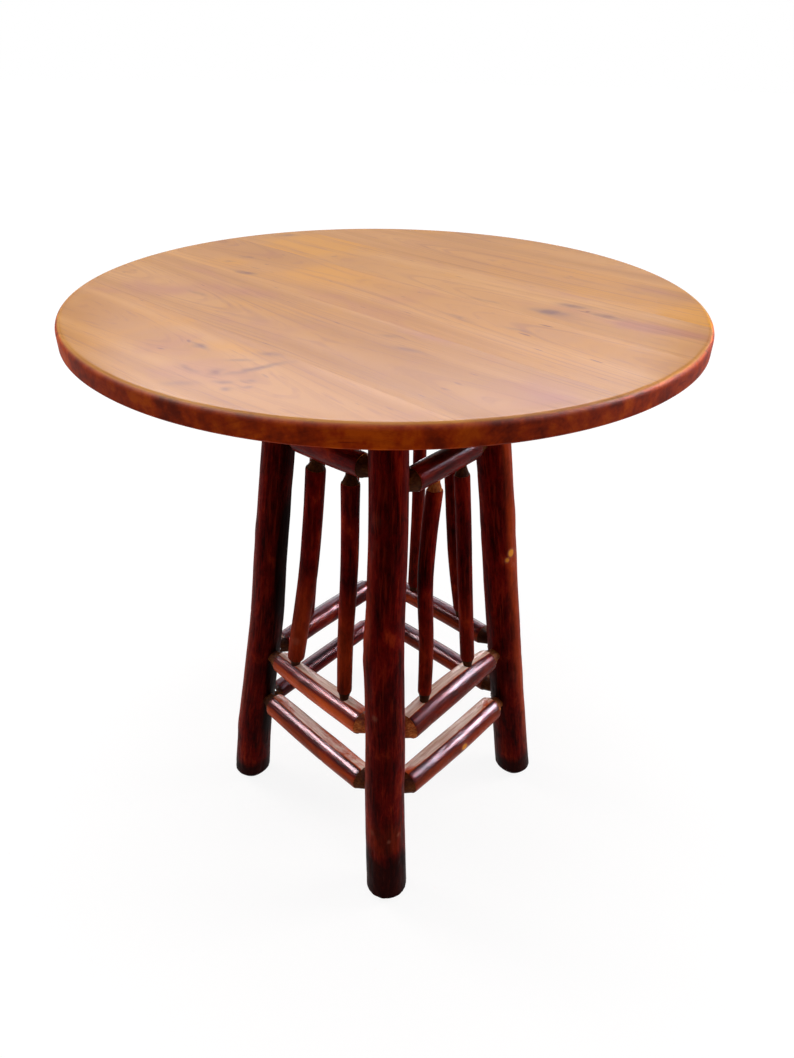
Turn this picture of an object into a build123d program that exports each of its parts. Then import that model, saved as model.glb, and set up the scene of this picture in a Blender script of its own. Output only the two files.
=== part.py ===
from build123d import *
import os
from math import cos, pi, sin, sqrt

# Round plank table on four leaning bark-on poles. Millimetres, +Z up, origin on the
# floor under the middle of the top. Front is -Y, right is +X.

# ---- top ----
table_height = 1029.0
top_diameter = 914.4
top_thickness = 28.6
top_arris_round = 8.0          # rounding of the rim's upper edge
under_arris_chamfer = 2.5      # easing of the rim's lower edge
arris_facets = 4               # flat strips that the rounding is made of
board_shares = (1.85, 1.75, 1.55, 1.35, 1.30, 1.34)   # relative board widths, front to back

# ---- dowels across the seams ----
dowel_diameter = 9.5
dowel_length = 40.0
dowel_spacing = 170.0
dowel_edge_margin = 60.0       # least distance from a dowel to the end of its seam

# ---- battens under the top ----
batten_width = 76.0
batten_thickness = 30.0
batten_setback = 44.0          # from the rim to the batten's end
batten_bevel = 30.0            # length of the sloped end
batten_nose = 6.0              # height left at the very end
screw_diameter = 4.2
screw_head_diameter = 8.4
screw_head_depth = 2.6
screw_bite = 15.0              # how far a screw goes into a board
screw_stagger = 22.0           # screws zigzag this far off the batten's middle
screw_leg_gap = 14.0           # least clear distance from a screw to a leg's side

# ---- legs ----
leg_spread_floor = 400.8       # between leg centres on the floor, along a side
leg_spread_top = 211.4         # between leg centres where they meet the battens
leg_flare = 1.3                # how the taper gathers towards the butt end
foot_round = 20.0              # height of the eased foot
foot_flat_diameter = 40.0
foot_fullness = 0.85           # 1 is a plain cone, less swells the eased foot outwards
leg_tenon_diameter = 36.0
leg_tenon_depth = 24.0

# ---- joints of the poles ----
rail_tenon_diameter = 24.0
rail_cone_length = 18.0        # pencil taper from the shoulder to the tenon
spindle_tenon_diameter = 16.0
spindle_tenon_depth = 15.0
spindle_cone_length = 13.0
bark_thickness = 1.5           # step where the bark is cut at the shoulder
tenon_reveal = 3.0             # bare tenon left between the cone and the host's side
tenon_gap = 1.0                # room past a tenon's end, and between two tenons in a leg
glue_gap = 0.05                # radial clearance of every round tenon, dowel and screw

# ---- brads through the rail tenons ----
brad_diameter = 1.8
brad_head_diameter = 3.4
brad_head_depth = 1.2
brad_past_axis = 5.0           # how far a brad's point passes the tenon's middle

# Legs: top diameter, foot diameter, and the bends as (share of the height, x, y).
legs = {
    "leg_front_left": (54.0, 72.0, (
        (0.0, -0.5, -0.5), (0.16, -2.3, -2.3), (0.42, 2.5, 2.5), (0.60, 0.8, 0.8), (0.80, 0.2, 0.2))),
    "leg_front_right": (57.0, 75.0, (
        (0.0, 2.0, 2.0), (0.10, 0.5, 0.5), (0.22, -1.2, -1.2), (0.38, -1.0, -1.0), (0.52, -2.6, -2.6),
        (0.75, 1.0, 1.0))),
    "leg_back_right": (58.0, 72.0, (
        (0.0, 0.0, 0.0), (0.22, -0.8, -0.6), (0.48, -0.5, -0.3), (0.75, 1.1, 1.1))),
    "leg_back_left": (57.0, 71.0, (
        (0.0, 0.0, 0.0), (0.25, -2.0, 1.0), (0.55, -1.0, 3.0), (0.80, 1.0, 1.0))),
}
corners = {
    "leg_front_left": (-1, -1),
    "leg_front_right": (1, -1),
    "leg_back_right": (1, 1),
    "leg_back_left": (-1, 1),
}
sides = {
    "front": ("leg_front_left", "leg_front_right"),
    "right": ("leg_front_right", "leg_back_right"),
    "back": ("leg_back_left", "leg_back_right"),
    "left": ("leg_front_left", "leg_back_left"),
}

# Rails: side, height at the first leg, height at the second, diameters at the first end,
# in the middle and at the second end, and bow (x, y, z).
rails = {
    "top_rail_front": ("front", 804.0, 817.0, (38.5, 40.0, 38.5), (0.0, -1.0, 1.0)),
    "top_rail_right": ("right", 791.0, 797.0, (40.0, 41.5, 40.0), (1.0, 0.0, 1.0)),
    "top_rail_back": ("back", 805.0, 801.0, (37.0, 38.0, 37.5), (0.0, 1.0, -1.5)),
    "top_rail_left": ("left", 793.0, 799.0, (37.0, 38.0, 37.5), (-1.0, 0.0, 1.5)),
    "upper_foot_rail_front": ("front", 343.0, 349.0, (40.0, 46.5, 47.0), (0.0, -2.0, 1.0)),
    "upper_foot_rail_right": ("right", 336.0, 346.0, (50.0, 51.5, 43.0), (2.0, 0.0, 8.0)),
    "upper_foot_rail_back": ("back", 332.0, 345.0, (39.0, 40.0, 39.5), (0.0, 1.0, 1.0)),
    "upper_foot_rail_left": ("left", 324.0, 336.0, (43.0, 44.5, 43.5), (-1.0, 0.0, 2.0)),
    "low_foot_rail_front": ("front", 233.5, 223.5, (46.0, 48.5, 47.0), (0.0, -2.0, 1.5)),
    "low_foot_rail_right": ("right", 213.0, 219.0, (49.0, 51.0, 49.5), (2.0, 0.0, 1.0)),
    "low_foot_rail_back": ("back", 207.0, 214.0, (38.5, 39.5, 38.0), (0.0, 1.0, 1.0)),
    "low_foot_rail_left": ("left", 192.0, 218.0, (37.0, 37.5, 37.0), (-1.0, 0.0, -1.0)),
}

# Spindles: side, place along the top rail and along the upper foot rail as shares from
# the first leg, top diameter, foot diameter, and the bends as (share of the length from
# the top, x, y).
spindles = {
    "spindle_front_left": ("front", 0.385, 0.285, 33.0, 31.0, (
        (0.25, 7.0, -1.0), (0.50, 10.0, -2.0), (0.80, 3.0, 0.0))),
    "spindle_front_right": ("front", 0.686, 0.694, 30.0, 26.0, ((0.35, 2.0, 1.0), (0.75, -1.0, 0.0))),
    "spindle_right_front": ("right", 0.419, 0.288, 27.0, 24.0, (
        (0.20, 0.0, -9.0), (0.42, 1.0, -13.0), (0.75, 1.0, -3.0))),
    "spindle_right_back": ("right", 0.670, 0.655, 27.0, 26.0, ((0.30, 1.0, -1.0), (0.60, 2.0, -3.0))),
    "spindle_back_left": ("back", 0.358, 0.273, 25.0, 25.0, ((0.45, 1.0, 2.0), (0.75, 1.0, 1.0))),
    "spindle_back_right": ("back", 0.614, 0.664, 24.0, 25.0, ((0.30, -4.0, 1.0), (0.65, -7.0, 1.0))),
    "spindle_left_front": ("left", 0.360, 0.340, 28.0, 27.0, ((0.40, -2.0, 3.0), (0.75, 0.0, 1.0))),
    "spindle_left_back": ("left", 0.690, 0.700, 27.0, 26.0, ((0.50, 1.0, -3.0), (0.80, 0.0, 1.0))),
}

# ---- levels worked out from the sizes above ----
top_radius = top_diameter / 2
underside = table_height - top_thickness
shoulder_height = underside - batten_thickness
rail_tenon_radius = rail_tenon_diameter / 2
spindle_tenon_radius = spindle_tenon_diameter / 2
body_sections = 9
foot_sections = 3


def smooth(first, last, slope_in, slope_out, share):
    """A cubic from one value to the next with a slope at each end."""
    rest = 1 - share
    return (
        first * (1 + 2 * share) * rest * rest
        + last * (3 - 2 * share) * share * share
        + slope_in * share * rest * rest
        - slope_out * rest * share * share
    )


def bend(kinks, share):
    """The sideways offset (x, y) at a share of a pole, on a smooth line through its kinks."""
    here = 0
    while here < len(kinks) - 2 and kinks[here + 1][0] < share:
        here += 1
    start, end = kinks[here], kinks[here + 1]
    before, after = kinks[max(here - 1, 0)], kinks[min(here + 2, len(kinks) - 1)]
    step = end[0] - start[0]
    offset = []
    for way in (1, 2):
        slope_in = (end[way] - before[way]) / (end[0] - before[0]) * step
        slope_out = (after[way] - start[way]) / (after[0] - start[0]) * step
        offset.append(smooth(start[way], end[way], slope_in, slope_out, (share - start[0]) / step))
    return offset


def leg_centre(name, height):
    """Centre of a leg at a height, on its leaning and slightly bent axis."""
    side_x, side_y = corners[name]
    share = height / shoulder_height
    spread = (leg_spread_floor + (leg_spread_top - leg_spread_floor) * share) / 2
    offset_x, offset_y = bend(legs[name][2] + ((1.0, 0.0, 0.0),), share)
    return Vector(side_x * spread + offset_x, side_y * spread + offset_y, height)


def leg_radius(name, height):
    """Radius of a leg at a height, thicker towards the butt end on the floor."""
    top_size, foot_size = legs[name][0], legs[name][1]
    below = 1 - height / shoulder_height
    return (top_size + (foot_size - top_size) * below ** leg_flare) / 2


def disc(centre, direction, radius):
    """A flat round section, square to a direction."""
    across = Vector(0, 0, 1).cross(direction)
    if across.length < 0.5:
        across = Vector(1, 0, 0)
    plane = Plane(origin=centre, x_dir=across, z_dir=direction)
    return plane * Circle(radius)


def rod(start, direction, length, radius):
    """A plain round rod from a point, along a direction."""
    plane = Plane(origin=start, z_dir=direction)
    return plane * Cylinder(radius, length, align=(Align.CENTER, Align.CENTER, Align.MIN))


def taper(start, direction, length, start_radius, end_radius):
    """A cone frustum from a point, along a direction."""
    plane = Plane(origin=start, z_dir=direction)
    return plane * Cone(start_radius, end_radius, length, align=(Align.CENTER, Align.CENTER, Align.MIN))


class Pole:
    """A pole let into a host at each end: bent body, cut shoulders, cones and tenons."""

    def __init__(self, start, end, hosts, stops, sizes, kinks, rise, tenon_radius, cone_length):
        self.start = start
        self.end = end
        self.axis = (end - start).normalized()
        self.span = (end - start).length
        self.hosts = hosts                # host radii at the two ends
        self.stops = stops                # distances from the host centres to the tenon ends
        self.sizes = sizes                # diameters at the first end, middle and second end
        self.kinks = ((0.0, 0.0, 0.0),) + kinks + ((1.0, 0.0, 0.0),)
        self.rise = rise                  # how far the middle stands up from the chord
        self.tenon_radius = tenon_radius
        self.cone_length = cone_length
        self.first = hosts[0] + tenon_reveal + cone_length
        self.last = self.span - hosts[1] - tenon_reveal - cone_length

    def share(self, distance):
        """Share of the body passed at a distance along the axis."""
        return min(max((distance - self.first) / (self.last - self.first), 0.0), 1.0)

    def centre(self, distance):
        """Centre of the pole at a distance along its axis."""
        share = self.share(distance)
        offset_x, offset_y = bend(self.kinks, share)
        lift = self.rise * sin(pi * share)
        return self.start + self.axis * distance + Vector(offset_x, offset_y, lift)

    def radius(self, distance):
        """Radius of the pole's body at a distance along its axis, on a curve through three."""
        first_size, middle_size, second_size = self.sizes
        share = self.share(distance)
        rest = 1 - share
        size = first_size * rest * (rest - share) + middle_size * 4 * share * rest
        return (size + second_size * share * (share - rest)) / 2

    def body(self):
        """The bark-covered length between the two shoulders."""
        step = (self.last - self.first) / (body_sections - 1)
        places = [self.first + step * number for number in range(body_sections)]
        sections = [disc(self.centre(place), self.axis, self.radius(place)) for place in places]
        return loft(sections, ruled=True)

    def end_frames(self):
        """For each end: host centre, direction into the body, host radius and tenon stop."""
        ways = (self.axis, self.axis * -1)
        return tuple(zip((self.start, self.end), ways, self.hosts, self.stops))

    def solid(self):
        """The whole pole."""
        whole = self.body()
        for frame, size in zip(self.end_frames(), (self.sizes[0], self.sizes[-1])):
            centre, inward, host, stop = frame
            neck = host + tenon_reveal
            shoulder = size / 2 - bark_thickness
            whole += taper(centre + inward * neck, inward, self.cone_length, self.tenon_radius, shoulder)
            whole += rod(centre + inward * stop, inward, neck - stop, self.tenon_radius)
        return whole

    def mortises(self):
        """The two round holes that the tenons are glued into."""
        holes = []
        for centre, inward, host, stop in self.end_frames():
            bottom = stop - tenon_gap / 2
            depth = host + tenon_reveal - bottom
            holes.append(rod(centre + inward * bottom, inward, depth, self.tenon_radius + glue_gap))
        return holes


def make_rail(name):
    """A rail between two legs. Its tenons stop clear of the tenon that crosses them."""
    side, first_height, second_height, sizes, bow = rails[name]
    first_leg, second_leg = sides[side]
    stop = rail_tenon_radius + tenon_gap
    return Pole(
        leg_centre(first_leg, first_height),
        leg_centre(second_leg, second_height),
        (leg_radius(first_leg, first_height), leg_radius(second_leg, second_height)),
        (stop, stop),
        sizes,
        ((0.5, bow[0], bow[1]),),
        bow[2],
        rail_tenon_radius,
        rail_cone_length,
    )


def make_spindle(name, rail_poles):
    """A spindle from a side's top rail down to its upper foot rail."""
    side, top_share, foot_share, top_size, foot_size, kinks = spindles[name]
    upper = rail_poles["top_rail_" + side]
    lower = rail_poles["upper_foot_rail_" + side]
    upper_place = upper.span * top_share
    lower_place = lower.span * foot_share
    hosts = (upper.radius(upper_place), lower.radius(lower_place))
    return Pole(
        upper.centre(upper_place),
        lower.centre(lower_place),
        hosts,
        (hosts[0] - spindle_tenon_depth, hosts[1] - spindle_tenon_depth),
        (top_size, (top_size + foot_size) / 2, foot_size),
        kinks,
        0.0,
        spindle_tenon_radius,
        spindle_cone_length,
    )


def foot_radius(name, height):
    """Radius low on a leg, where the foot is eased in to a small flat."""
    flat = foot_flat_diameter / 2
    full = leg_radius(name, foot_round)
    return flat + (full - flat) * (height / foot_round) ** foot_fullness


def make_leg(name):
    """A leg cut level at both ends, with its eased foot and its top tenon."""
    body_step = (shoulder_height - foot_round) / (body_sections - 1)
    foot_heights = [foot_round * number / foot_sections for number in range(foot_sections)]
    body_heights = [foot_round + body_step * number for number in range(body_sections)]
    up = Vector(0, 0, 1)
    sections = [disc(leg_centre(name, height), up, foot_radius(name, height)) for height in foot_heights]
    sections += [disc(leg_centre(name, height), up, leg_radius(name, height)) for height in body_heights]
    leg = loft(sections, ruled=True)
    return leg + leg_tenon(name, leg_tenon_depth, 0.0)


def leg_tenon(name, depth, gap):
    """The upright round tenon on a leg's top, or with a gap, the hole for it."""
    root = leg_centre(name, shoulder_height)
    below = leg_tenon_diameter / 4
    start = Vector(root.X, root.Y, shoulder_height - below)
    return rod(start, Vector(0, 0, 1), depth + below, leg_tenon_diameter / 2 + gap)


def make_brad(rail, end_number, leg_name, leg_height, inner):
    """A brad driven from the inner side of a leg through a rail's tenon."""
    centre, inward, host, stop = rail.end_frames()[end_number]
    offset = (host + stop) / 2
    radius = leg_radius(leg_name, leg_height)
    surface = sqrt(radius * radius - offset * offset)
    head = centre + inward * offset + inner * surface
    drive = inner * -1
    shank = rod(head, drive, surface + brad_past_axis, brad_diameter / 2)
    return shank + rod(head, drive, brad_head_depth, brad_head_diameter / 2)


def make_brads(rail_poles):
    """One brad for each end of each rail, with the leg and the rail that it goes through."""
    inner_ways = {
        "front": Vector(0, 1, 0),
        "right": Vector(-1, 0, 0),
        "back": Vector(0, -1, 0),
        "left": Vector(1, 0, 0),
    }
    brads = []
    for rail_name, rail in rail_poles.items():
        side, first_height, second_height = rails[rail_name][:3]
        for end_number, height in enumerate((first_height, second_height)):
            leg_name = sides[side][end_number]
            brad = make_brad(rail, end_number, leg_name, height, inner_ways[side])
            brads.append((brad, leg_name, rail_name))
    return brads


def seam_lines():
    """The y of every board edge, front to back, the rim's two ends included."""
    whole = sum(board_shares)
    lines = [-top_radius]
    for share in board_shares:
        lines.append(lines[-1] + top_diameter * share / whole)
    return lines


def half_chord(offset):
    """Half the length of a straight line across the top at an offset from its middle."""
    return sqrt(top_radius * top_radius - offset * offset)


def make_top():
    """The whole round top before it is divided, its upper arris rounded in narrow facets."""
    shoulder = top_radius - top_arris_round
    turns = [pi / 2 * number / arris_facets for number in range(arris_facets + 1)]
    arris = [
        (shoulder + top_arris_round * cos(turn), table_height - top_arris_round * (1 - sin(turn)))
        for turn in turns
    ]
    outline = Polyline(
        (0, underside),
        (top_radius - under_arris_chamfer, underside),
        (top_radius, underside + under_arris_chamfer),
        *arris,
        (0, table_height),
        close=True,
    )
    return revolve(Plane.XZ * make_face(outline), Axis.Z)


def make_dowels(lines, gap, end_gap):
    """Dowels across each seam, or with gaps, the holes for them."""
    dowels = []
    half = dowel_length / 2 + end_gap
    for line in lines[1:-1]:
        reach = half_chord(line) - dowel_edge_margin
        pairs = int(reach // dowel_spacing)
        for number in range(-pairs, pairs + 1):
            start = Vector(number * dowel_spacing, line - half, underside + top_thickness / 2)
            dowels.append(rod(start, Vector(0, 1, 0), 2 * half, dowel_diameter / 2 + gap))
    return dowels


def batten_centre(side_x):
    """The x of a batten's middle line, over the leg tops of its side."""
    return side_x * leg_spread_top / 2


def batten_half_length():
    """Half a batten's length, from how far its outer edge is inside the rim."""
    return half_chord(leg_spread_top / 2 + batten_width / 2) - batten_setback


def make_batten(side_x):
    """A board on the flat across the top's underside, sloped up at both ends."""
    half = batten_half_length()
    flat = half - batten_bevel
    nose = underside - batten_nose
    outline = Polyline(
        (-half, underside),
        (half, underside),
        (half, nose),
        (flat, shoulder_height),
        (-flat, shoulder_height),
        (-half, nose),
        close=True,
    )
    face = Plane.YZ * make_face(outline)
    return Pos(batten_centre(side_x) - batten_width / 2, 0, 0) * extrude(face, batten_width, dir=(1, 0, 0))


def clear_of_legs(place, low, high):
    """A screw's place along a batten, moved clear of the legs within its board."""
    for leg_place in (-leg_spread_top / 2, leg_spread_top / 2):
        biggest = max(sizes[0] for sizes in legs.values()) / 2
        keep = biggest + screw_leg_gap
        if abs(place - leg_place) < keep:
            way = 1 if high - leg_place > leg_place - low else -1
            place = leg_place + way * keep
    return place


def screw_places(lines):
    """The (x, y) of every screw: one a board on each batten, in a zigzag."""
    flat = batten_half_length() - batten_bevel
    places = []
    for side_x in (-1, 1):
        for number in range(len(board_shares)):
            low = max(lines[number], -flat)
            high = min(lines[number + 1], flat)
            if high - low < 2 * screw_head_diameter:
                continue
            place = clear_of_legs((low + high) / 2, low, high)
            stagger = screw_stagger if number % 2 else -screw_stagger
            places.append((batten_centre(side_x) + stagger, place))
    return places


def make_screw(place, gap):
    """A countersunk screw up through a batten, or with a gap, the hole for it."""
    head_radius = screw_head_diameter / 2 + gap
    shank_radius = screw_diameter / 2 + gap
    start = Vector(place[0], place[1], shoulder_height)
    up = Vector(0, 0, 1)
    shank = rod(start, up, batten_thickness + screw_bite + gap, shank_radius)
    return shank + taper(start, up, screw_head_depth, head_radius, shank_radius)


def cut(solid, tools):
    """A solid with a list of tools taken away."""
    return solid - tools if tools else solid


def near(solid, tools):
    """The tools whose boxes reach a solid's box."""
    box = solid.bounding_box()
    found = []
    for tool in tools:
        other = tool.bounding_box()
        if all(
            low_a < high_b and low_b < high_a
            for low_a, high_a, low_b, high_b in zip(box.min, box.max, other.min, other.max)
        ):
            found.append(tool)
    return found


def group(solids):
    """Separate like solids kept together as one piece."""
    return Compound(children=[item.solid() for item in solids])


lines = seam_lines()
rail_poles = {name: make_rail(name) for name in rails}
spindle_poles = {name: make_spindle(name, rail_poles) for name in spindles}
brads = make_brads(rail_poles)
screws = [make_screw(place, 0.0) for place in screw_places(lines)]
screw_holes = [make_screw(place, glue_gap) for place in screw_places(lines)]
dowel_holes = make_dowels(lines, glue_gap, tenon_gap)

parts = {}

top = make_top()
for number in range(len(board_shares)):
    low, high = lines[number], lines[number + 1]
    slab = Pos(0, (low + high) / 2, table_height) * Box(2 * top_diameter, high - low, 4 * top_thickness)
    board = top & slab
    parts[f"top_board_{number + 1}"] = cut(board, near(board, dowel_holes + screw_holes))
parts["board_dowels"] = group(make_dowels(lines, 0.0, 0.0))

leg_tenon_holes = [leg_tenon(name, leg_tenon_depth + tenon_gap, glue_gap) for name in legs]
for name, side_x in (("batten_left", -1), ("batten_right", 1)):
    batten = make_batten(side_x)
    parts[name] = cut(batten, near(batten, leg_tenon_holes + screw_holes))
parts["batten_screws"] = group(screws)

rail_mortises = [hole for pole in rail_poles.values() for hole in pole.mortises()]
for name in legs:
    leg = make_leg(name)
    brad_holes = [brad for brad, leg_name, rail_name in brads if leg_name == name]
    parts[name] = cut(leg, near(leg, rail_mortises) + brad_holes)

spindle_mortises = [hole for pole in spindle_poles.values() for hole in pole.mortises()]
for name, pole in rail_poles.items():
    rail = pole.solid()
    brad_holes = [brad for brad, leg_name, rail_name in brads if rail_name == name]
    parts[name] = cut(rail, near(rail, spindle_mortises) + brad_holes)

for name, pole in spindle_poles.items():
    parts[name] = pole.solid()

parts["tenon_brads"] = group([brad for brad, leg_name, rail_name in brads])

os.makedirs("parts", exist_ok=True)
for name, part in parts.items():
    part.label = name
    export_step(part, f"parts/{name}.step")
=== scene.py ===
from itertools import product

import bmesh
import bpy
import numpy as np
from mathutils import Matrix, Vector


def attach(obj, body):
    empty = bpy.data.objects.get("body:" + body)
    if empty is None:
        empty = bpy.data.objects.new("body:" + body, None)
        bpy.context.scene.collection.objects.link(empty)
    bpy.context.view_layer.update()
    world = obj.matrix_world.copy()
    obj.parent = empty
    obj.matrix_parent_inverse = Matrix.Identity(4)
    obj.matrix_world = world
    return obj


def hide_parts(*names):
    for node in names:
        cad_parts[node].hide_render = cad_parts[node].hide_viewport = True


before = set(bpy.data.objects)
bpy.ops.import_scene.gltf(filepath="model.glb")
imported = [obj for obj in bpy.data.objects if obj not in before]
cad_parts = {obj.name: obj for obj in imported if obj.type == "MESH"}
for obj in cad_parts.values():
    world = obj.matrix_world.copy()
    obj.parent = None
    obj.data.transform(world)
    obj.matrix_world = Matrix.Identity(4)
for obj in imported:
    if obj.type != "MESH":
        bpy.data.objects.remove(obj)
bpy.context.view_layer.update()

# ---- The room ----
# The table stands alone on a white studio floor, seen from standing height over its front
# right corner. Soft lamps light it from overhead and from both sides, and those named gleam
# add only their reflection in the varnish, as windows would.
white = (1.0, 1.0, 1.0, 1.0)

eye = bpy.data.cameras.new("eye")
eye.sensor_width = 36.0
eye.lens = 26.185
eye.clip_end = 100.0
eye_place = (0.791083, -0.819191, 1.344701)
eye_right = Vector((0.72536625, 0.68820637, 0.01469023))
eye_up = Vector((-0.37922246, 0.38170627, 0.84290608))
eye_back = Vector((0.57448598, -0.61698648, 0.53786015))
eye_turn = Matrix((eye_right, eye_up, eye_back)).transposed().to_4x4()
camera = bpy.data.objects.new("eye", eye)
camera.matrix_world = Matrix.Translation(eye_place) @ eye_turn
bpy.context.scene.collection.objects.link(camera)
bpy.context.scene.camera = camera
bpy.context.scene.view_settings.view_transform = "Standard"


def lamp(name, place, aim, size, power, colour, diffuse=True, gleam=True, beam=180):
    """A soft lamp of a size (width, height) and power (W), turned to face a point."""
    light = bpy.data.lights.new(name, "AREA")
    light.shape = "RECTANGLE"
    light.size, light.size_y = size
    light.spread = np.radians(beam)
    light.energy = power
    light.color = colour
    holder = bpy.data.objects.new(name, light)
    holder.location = place
    holder.rotation_euler = (Vector(aim) - Vector(place)).to_track_quat("-Z", "Y").to_euler()
    holder.visible_camera = False
    holder.visible_diffuse = diffuse
    holder.visible_glossy = gleam
    bpy.context.scene.collection.objects.link(holder)


at_top = (0, 0, 1.0)
at_middle = (0, 0, 0.6)
at_foot_rails = (0, 0, 0.25)
lamp("lamp_overhead", (0.2, -0.3, 3.4), at_top, (1.6, 1.6), 34.0, (1.0, 0.97, 0.95))
lamp("lamp_left", (-2.6, -0.8, 1.3), at_middle, (1.2, 1.2), 45.0, (1.0, 0.93, 0.88), gleam=False)
lamp("lamp_right", (1.9, 2.3, 1.5), at_middle, (1.2, 1.2), 48.0, (1.0, 0.92, 0.86), gleam=False)
lamp("gleam_behind", (-1.75, 1.8, 2.75), at_top, (3.0, 1.0), 240.0, (0.80, 0.82, 1.0), diffuse=False)
lamp("gleam_left", (-1.20, -1.14, 2.65), at_foot_rails, (1.8, 1.8), 160.0, (0.94, 0.95, 1.0),
     diffuse=False, beam=30)
lamp("gleam_right", (1.50, 1.75, 2.05), at_foot_rails, (1.8, 1.8), 170.0, (0.76, 0.86, 1.0),
     diffuse=False, beam=30)
lamp("gleam_low", (-0.95, 1.02, 0.62), at_foot_rails, (1.6, 0.5), 45.0, (0.94, 0.92, 1.0),
     diffuse=False)


def node(material, kind, sockets=None, **fields):
    """A shader node with its settings, its plain values and the sockets that feed it."""
    made = material.node_tree.nodes.new("ShaderNode" + kind)
    for field, value in fields.items():
        setattr(made, field, value)
    for name, value in (sockets or {}).items():
        if isinstance(value, bpy.types.NodeSocket):
            material.node_tree.links.new(value, made.inputs[name])
        else:
            made.inputs[name].default_value = value
    return made


def calc(material, operation, first, second, clamp=False):
    """One sum on values or sockets."""
    return node(material, "Math", {0: first, 1: second}, operation=operation, use_clamp=clamp).outputs[0]


room_light = 0.32
world = bpy.data.worlds.new("studio")
world.use_nodes = True
world.node_tree.nodes.clear()
path = node(world, "LightPath").outputs
mirrored = calc(world, "MAXIMUM", path["Is Glossy Ray"], path["Is Transmission Ray"])
seen = calc(world, "MAXIMUM", path["Is Camera Ray"], mirrored)
surround = node(world, "Background", {"Color": (0.97, 0.95, 1.0, 1.0), "Strength": room_light})
backdrop = node(world, "Background", {"Color": white, "Strength": 1.0})
sky = node(world, "MixShader", {0: seen, 1: surround.outputs[0], 2: backdrop.outputs[0]})
node(world, "OutputWorld", {"Surface": sky.outputs[0]})
bpy.context.scene.world = world

# The floor glows white as seen by the camera. Under the table a little of its lit paint
# comes through, which carries the shadow, and that fades out with the distance.
floor_radius = 30.0
floor_corners = 48
floor_glow = 1.05
glow_at_middle = 0.82
shadow_reach = 2.2
floor_mesh = bpy.data.meshes.new("studio_floor")
floor_edge = [
    (floor_radius * np.cos(turn), floor_radius * np.sin(turn), 0.0)
    for turn in np.linspace(0, 2 * np.pi, floor_corners, endpoint=False)
]
floor_mesh.from_pydata(floor_edge, [], [range(len(floor_edge))])
floor = bpy.data.objects.new("studio_floor", floor_mesh)
bpy.context.scene.collection.objects.link(floor)
floor_paint = bpy.data.materials.new("studio_floor")
floor_paint.use_nodes = True
floor_paint.node_tree.nodes.clear()
path = node(floor_paint, "LightPath").outputs
seen = calc(floor_paint, "MAXIMUM", path["Is Camera Ray"], path["Is Glossy Ray"])
lit = node(floor_paint, "BsdfDiffuse", {"Color": (0.86, 0.86, 0.87, 1.0)})
glow = node(floor_paint, "Emission", {"Color": white, "Strength": floor_glow})
place = node(floor_paint, "TexCoord").outputs["Object"]
away = node(floor_paint, "VectorMath", {0: place}, operation="LENGTH").outputs["Value"]
faded = calc(floor_paint, "DIVIDE", away, shadow_reach, clamp=True)
added = calc(floor_paint, "MULTIPLY", faded, 1 - glow_at_middle)
clear = calc(floor_paint, "ADD", added, glow_at_middle)
cover = calc(floor_paint, "MULTIPLY", seen, clear)
paint = node(floor_paint, "MixShader", {0: cover, 1: lit.outputs[0], 2: glow.outputs[0]})
node(floor_paint, "OutputMaterial", {"Surface": paint.outputs[0]})
floor_mesh.materials.append(floor_paint)

# ---- The bark finish ----
# Young hickory poles are used with the bark on. The bark is stained and varnished almost
# black-red, with a gloss that lies smooth over shallow ridges, knots and scars.


def finish(name, specular, tint=white):
    """A new material with a bare principled shader, its reflections of one strength and tint."""
    made = bpy.data.materials.new(name)
    made.use_nodes = True
    made.node_tree.nodes.clear()
    shader = node(made, "BsdfPrincipled", {"Specular IOR Level": specular, "Specular Tint": tint})
    node(made, "OutputMaterial", {"Surface": shader.outputs[0]})
    return made, shader


def feed(material, value, socket):
    """Joins a socket to the socket that it feeds."""
    material.node_tree.links.new(value, socket)


def field(material, name):
    """A value or vector that the mesh carries at its points."""
    return node(material, "Attribute", attribute_name=name).outputs


def stretched(material, vector, scale):
    """The vector scaled by its own amount on each axis."""
    return node(material, "Mapping", {"Vector": vector, "Scale": scale}).outputs[0]


def cloud(material, vector, scale, detail=3.0, rough=0.55, distortion=0.0):
    """A noise value from about 0.2 to 0.8."""
    return node(material, "TexNoise", {
        "Vector": vector,
        "Scale": scale,
        "Detail": detail,
        "Roughness": rough,
        "Distortion": distortion,
    }).outputs["Fac"]


def steps(material, value, stops):
    """Colours or greys along a value, as (place, colour) pairs."""
    made = node(material, "ValToRGB", {"Fac": value})
    band = made.color_ramp.elements
    while len(band) < len(stops):
        band.new(0.5)
    for mark, (place, colour) in zip(band, stops):
        mark.position = place
        mark.color = colour
    return made.outputs["Color"]


def grey(value):
    """A grey for a colour ramp."""
    return (value, value, value, 1.0)


def mix(material, share, first, second, way="MIX"):
    """One colour laid over another."""
    made = node(material, "Mix", data_type="RGBA", blend_type=way)
    for number, value in ((0, share), (6, first), (7, second)):
        if isinstance(value, bpy.types.NodeSocket):
            feed(material, value, made.inputs[number])
        else:
            made.inputs[number].default_value = value
    return made.outputs[2]


def toned(material, colour):
    """The colour made darker or lighter by the tone that the mesh carries."""
    tone = field(material, "tone")["Fac"]
    shade = node(material, "CombineColor", {0: tone, 1: tone, 2: tone}).outputs[0]
    return mix(material, 1.0, colour, shade, "MULTIPLY")


def bump(material, height, distance, strength):
    """A fine relief that is too small for the mesh, its height in metres."""
    return node(material, "Bump", {"Height": height, "Distance": distance, "Strength": strength}).outputs[0]


def surface(material, shader, colour, gloss, relief):
    """Joins the colour, the roughness and the fine relief to the shader."""
    feed(material, colour, shader.inputs["Base Color"])
    feed(material, gloss, shader.inputs["Roughness"])
    feed(material, relief, shader.inputs["Normal"])


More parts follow.
